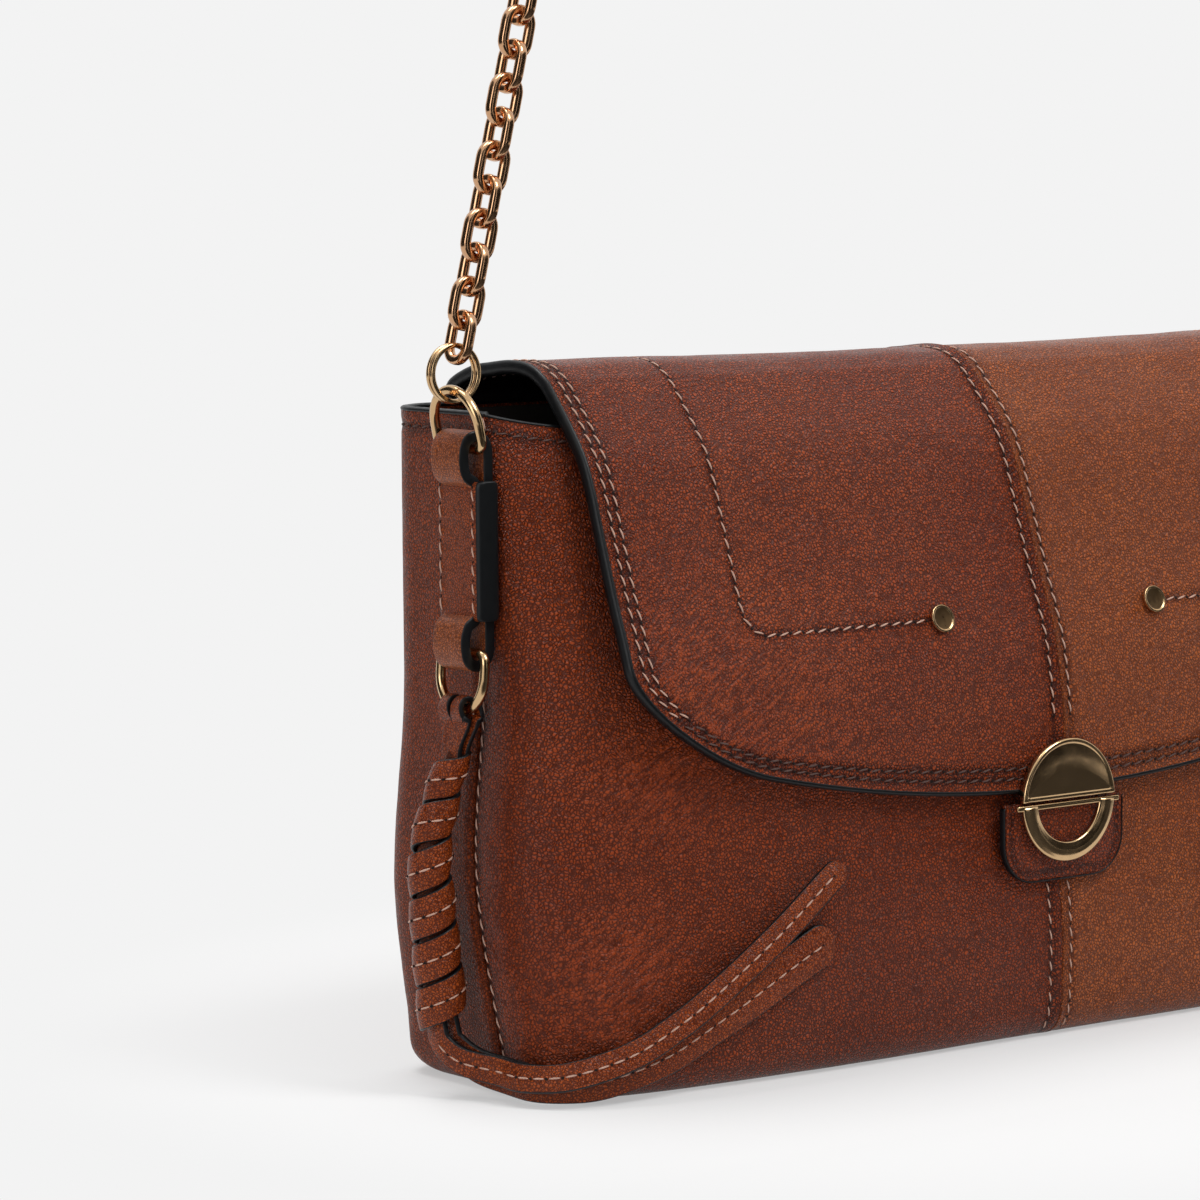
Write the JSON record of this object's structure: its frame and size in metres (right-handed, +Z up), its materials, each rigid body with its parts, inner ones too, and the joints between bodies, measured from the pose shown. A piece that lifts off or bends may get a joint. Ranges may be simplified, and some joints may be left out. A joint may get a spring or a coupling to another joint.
{
  "type": "shoulder bag",
  "caption": "Soft leather shoulder bag with a curved front flap, half-disc lock, chain strap on side rings and wrapped lace tassels.",
  "frame": {"origin": "centre of the flat underside of the base, in the plane of the strap", "axes": "+X along the bag's width, -Y to its front, +Z up"},
  "size_m": [0.3409, 0.0797, 0.4144],
  "materials": {
    "leather_brown": "semi-gloss grained leather",
    "leather_tan": "semi-gloss grained leather, lighter",
    "leather_dark": "smooth leather",
    "lace_leather": "smooth strap leather with painted edges",
    "lining_fabric": "woven cotton lining",
    "gold_metal": "polished pale gold plating",
    "magnet_steel": "plain nickel"
  },
  "bodies": {
    "bag": {"front_panel_left": "leather_brown", "front_panel_right": "leather_tan", "back_panel": "leather_dark", "base_panel": "leather_dark", "lining": "lining_fabric", "inner_slip_pocket": "lining_fabric", "lock_patch": "leather_tan", "lock_lower_plate": "gold_metal", "lock_magnet_body": "magnet_steel", "tab_left": "leather_tan", "tab_right": "leather_tan"},
    "flap": {"flap_left": "leather_brown", "flap_right": "leather_tan", "flap_lining": "lining_fabric", "lock_upper_plate": "gold_metal", "lock_magnet_flap": "magnet_steel", "rivet_left": "gold_metal", "rivet_right": "gold_metal"},
    "strap": {"split_ring_left": "gold_metal", "split_ring_right": "gold_metal", "chain_link_left_01": "gold_metal", "chain_link_left_02": "gold_metal", "chain_link_left_03": "gold_metal", "chain_link_left_04": "gold_metal", "chain_link_left_05": "gold_metal", "chain_link_left_06": "gold_metal", "chain_link_left_07": "gold_metal", "chain_link_left_08": "gold_metal", "chain_link_left_09": "gold_metal", "chain_link_left_10": "gold_metal", "chain_link_left_11": "gold_metal", "chain_link_left_12": "gold_metal", "chain_link_right_01": "gold_metal", "chain_link_right_02": "gold_metal", "chain_link_right_03": "gold_metal", "chain_link_right_04": "gold_metal", "chain_link_right_05": "gold_metal", "chain_link_right_06": "gold_metal", "chain_link_right_07": "gold_metal", "chain_link_right_08": "gold_metal", "chain_link_right_09": "gold_metal", "chain_link_right_10": "gold_metal", "chain_link_right_11": "gold_metal", "chain_link_right_12": "gold_metal", "chain_arch": "gold_metal"},
    "upper_ring_left": {"upper_ring_left": "gold_metal"},
    "upper_ring_right": {"upper_ring_right": "gold_metal"},
    "lower_ring_left": {"lower_ring_left": "gold_metal"},
    "lower_ring_right": {"lower_ring_right": "gold_metal"},
    "tassel_left": {"tassel_stem_left": "lace_leather", "tassel_wrap_left": "lace_leather", "lace_tail_upper_left": "lace_leather", "lace_tail_lower_left": "lace_leather"},
    "tassel_right": {"tassel_stem_right": "lace_leather", "tassel_wrap_right": "lace_leather", "lace_tail_upper_right": "lace_leather", "lace_tail_lower_right": "lace_leather"}
  },
  "joints": [
    {"name": "flap_hinge", "type": "hinge", "parent": "bag", "child": "flap", "pos_m": [0, 0.04, 0.1618], "axis": [-1, 0, 0], "range_deg": [0, 160]},
    {"name": "strap_swing", "type": "hinge", "parent": "bag", "child": "strap", "pos_m": [0, 0, 0.16769], "axis": [1, 0, 0], "range_deg": [-12, 12]},
    {"name": "upper_ring_swing_left", "type": "hinge", "parent": "bag", "child": "upper_ring_left", "pos_m": [-0.158, 0, 0.1538], "axis": [0, -1, 0], "range_deg": [-1, 1]},
    {"name": "upper_ring_swing_right", "type": "hinge", "parent": "bag", "child": "upper_ring_right", "pos_m": [0.158, 0, 0.1538], "axis": [0, 1, 0], "range_deg": [-1, 1]},
    {"name": "lower_ring_swing_left", "type": "hinge", "parent": "bag", "child": "lower_ring_left", "pos_m": [-0.158, 0, 0.1061], "axis": [0, 1, 0], "range_deg": [0, 15]},
    {"name": "lower_ring_swing_right", "type": "hinge", "parent": "bag", "child": "lower_ring_right", "pos_m": [0.158, 0, 0.1061], "axis": [0, -1, 0], "range_deg": [0, 15]},
    {"name": "tassel_swing_left", "type": "hinge", "parent": "lower_ring_left", "child": "tassel_left", "pos_m": [-0.15899, 0, 0.09193], "axis": [0, 1, 0], "range_deg": [0, 50]},
    {"name": "tassel_swing_right", "type": "hinge", "parent": "lower_ring_right", "child": "tassel_right", "pos_m": [0.15899, 0, 0.09193], "axis": [0, -1, 0], "range_deg": [0, 50]}
  ]
}
